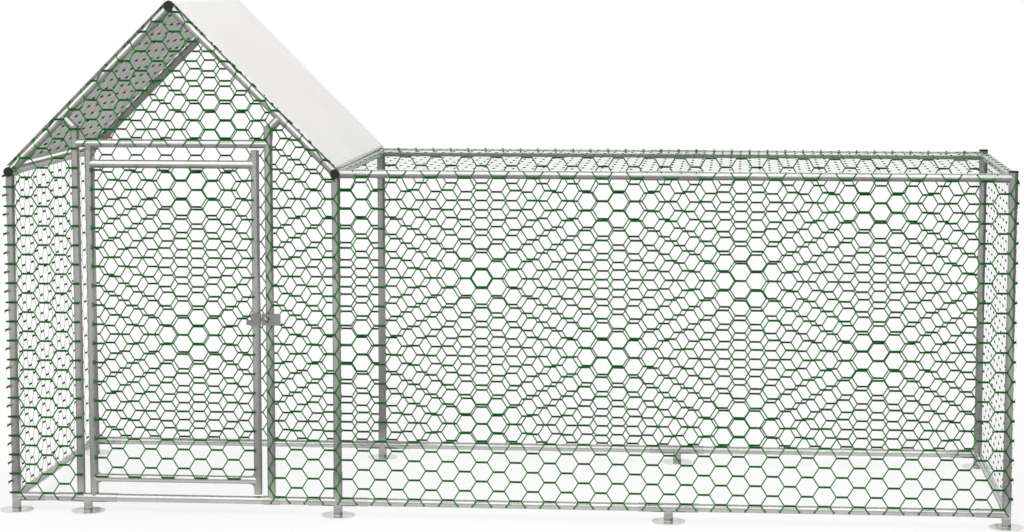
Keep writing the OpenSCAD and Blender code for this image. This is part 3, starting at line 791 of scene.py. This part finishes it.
# Roof cover
def cover_wave(flat):
    """The height of the cloth's waves, from nought upwards."""
    broad = math.sin(flat.x * BROAD_ACROSS + BROAD_SHIFT) * math.sin(flat.y * BROAD_ALONG)
    fine = math.sin(flat.x * FINE_ACROSS + flat.y * FINE_ALONG)
    swell = broad + fine * FINE_SHARE
    return WAVE_H * (1 + FINE_SHARE + swell)


def cover_point(flat, edge, length):
    """Carries a point of the flat cloth onto the slopes and over the ridge tube."""
    arc = COVER_LIE * PITCH
    from_ridge = flat.y - length / 2
    side = 1 if from_ridge > 0 else -1
    down = abs(from_ridge) - arc
    off = COVER_LIE + cover_wave(flat) + (HEM_T if edge < HEM_L else 0.0)
    y = (Y_FRONT + Y_REAR) / 2 + flat.x
    if down < 0:
        turn = from_ridge / COVER_LIE
        return Vector((X_RIDGE + off * math.sin(turn), y, Z_RIDGE + off * math.cos(turn)))
    x = X_RIDGE + side * (down * math.cos(PITCH) + off * math.sin(PITCH))
    z = Z_RIDGE - down * math.sin(PITCH) + off * math.cos(PITCH)
    return Vector((x, y, z))


def roof_cover():
    low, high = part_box("roof_cover")
    width = high.y - low.y
    foot = (low.z - Z_EAVE - COVER_LIE * math.cos(PITCH)) / math.sin(PITCH)
    length = 2 * (SLOPE - foot) + 2 * COVER_LIE * PITCH
    made = bmesh.new()
    bmesh.ops.create_grid(made, x_segments=COVER_COLUMNS, y_segments=COVER_ROWS, size=0.5)
    flat_map = made.loops.layers.uv.new("flat")
    for face in made.faces:
        for loop in face.loops:
            place = loop.vert.co
            loop[flat_map].uv = (place.x * width, (place.y + 0.5) * length)
    edge = made.verts.layers.float.new("edge")
    for vert in made.verts:
        flat = Vector((vert.co.x * width, (vert.co.y + 0.5) * length))
        vert[edge] = min(width / 2 - abs(flat.x), flat.y, length - flat.y)
        vert.co = cover_point(flat, vert[edge], length)
    bmesh.ops.recalc_face_normals(made, faces=made.faces)
    piece = put_mesh("cover_sheet", made, finishes["cover"])
    piece.data.shade_smooth()
    wall = piece.modifiers.new("thickness", "SOLIDIFY")
    wall.thickness = COVER_T
    wall.offset = 1.0
    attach(piece, "frame")
    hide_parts("roof_cover")


# Studio
def floor_white():
    """White ground, which the camera sees nearly even, with the run's soft shadow. The tubes mirror it
    dim, but bright where it is close to them or far from the run."""
    ground = Finish("floor_white")
    seen = ground.rays("Is Camera Ray")
    mirrored = ground.rays("Is Glossy Ray") + ground.rays("Is Transmission Ray")
    away = ground.add("ShaderNodeVectorMath", {"operation": "LENGTH"}, {0: ground.place()}, output="Value")
    far = ground.ramp(away * (1 / FLOOR_REACH), low=0.2, high=0.45)
    close = 1 - ground.ramp(ground.rays("Ray Length"), low=0.15, high=0.7)
    lit = ground.mix(grey(PAINT_LIT), grey(PAINT_SEEN), seen)
    tint = ground.mix(lit, grey(PAINT_MIRRORED), mirrored)
    paint = ground.add("ShaderNodeBsdfDiffuse", None, {"Color": tint})
    gleam = ground.mix(grey(1), grey(CLOSE_GLOW), mirrored * close)
    glow = ground.add("ShaderNodeEmission", None, {"Color": gleam, "Strength": 1.0})
    horizon = far * HORIZON_GLOW
    share = seen * (SEEN_GLOW + far * (1 - SEEN_GLOW)) + mirrored * (horizon + close * (1 - horizon))
    white = ground.add("ShaderNodeMixShader", None, {0: share, 1: paint, 2: glow})
    ground.feed(ground.tree.nodes["Material Output"].inputs["Surface"], white)
    return ground.material


def floor():
    made = bmesh.new()
    bmesh.ops.create_grid(made, x_segments=1, y_segments=1, size=FLOOR_W / 2)
    bmesh.ops.translate(made, verts=made.verts, vec=(0, 0, FLOOR_Z - FLOOR_DROP))
    plane = put_mesh("floor", made, floor_white())


def card(name, size, turn, place, light):
    """A card that only reflections see."""
    made = bmesh.new()
    bmesh.ops.create_grid(made, x_segments=1, y_segments=1, size=0.5)
    bmesh.ops.scale(made, verts=made.verts, vec=(*size, 1.0))
    bmesh.ops.rotate(made, verts=made.verts, matrix=turn)
    bmesh.ops.translate(made, verts=made.verts, vec=place)
    paint = Finish(name).surface(
        Base_Color=grey(0.01), Roughness=0.9,
        Emission_Color=grey(1), Emission_Strength=light,
    )
    panel = put_mesh(name, made, paint)
    panel.visible_camera = False
    panel.visible_diffuse = False
    panel.visible_shadow = False


def cards():
    """A dark card on the right gives the tubes' far sides an edge. A bright one over the front draws a
    streak along every rail, and a dim one overhead greys the rails' tops."""
    card("dark_card", size=(5.0, 12.0), turn=Matrix.Rotation(math.pi / 2, 3, "Y"),
         place=(5.0, 0.5, 2.5), light=0.0)
    card("bright_card", size=(14.0, 4.8), turn=Matrix.Rotation(math.radians(50), 3, "X"),
         place=(0.0, -3.05, 3.65), light=2.8)
    card("dim_card", size=(14.0, 5.6), turn=Matrix.Identity(3),
         place=(0.0, 1.4, 5.6), light=0.8)


def sky():
    """A white sky for the camera and for reflections, which lights the object less than it shows."""
    world = bpy.data.worlds.new("studio")
    world.use_nodes = True
    bpy.context.scene.world = world
    light = Nodes(world.node_tree)
    mirrored = light.rays("Is Glossy Ray") + light.rays("Is Transmission Ray")
    seen = light.rays("Is Camera Ray") + mirrored
    background = light.tree.nodes["Background"].inputs
    light.feed(background["Color"], grey(1))
    light.feed(background["Strength"], SKY_LIGHT + seen * (1 - SKY_LIGHT))


def lamp(name, place, size, power):
    light = bpy.data.lights.new(name, "AREA")
    light.shape = "RECTANGLE"
    light.size, light.size_y = size
    light.energy = power
    holder = put(name, light)
    holder.location = place
    holder.rotation_euler = (Vector(LAMP_AIM) - Vector(place)).to_track_quat("-Z", "Y").to_euler()
    holder.visible_glossy = False


def lamps():
    lamp("key", place=(-3.5, -5.0, 5.5), size=(4.0, 4.0), power=260.0)
    lamp("top", place=(0.5, 0.5, 6.0), size=(6.0, 4.0), power=150.0)


def camera():
    view = bpy.data.cameras.new("camera")
    view.sensor_width = SENSOR_W
    view.lens = LENS
    holder = put("camera", view)
    holder.location = CAMERA_PLACE
    holder.rotation_euler = (math.pi / 2 - CAMERA_DOWN, 0, CAMERA_TURN)
    bpy.context.scene.camera = holder


dress_frame()
front_nets()
rear_nets()
end_nets()
roof_nets()
door_net()
roof_cover()
floor()
cards()
sky()
lamps()
camera()
bpy.context.scene.view_settings.view_transform = "Standard"
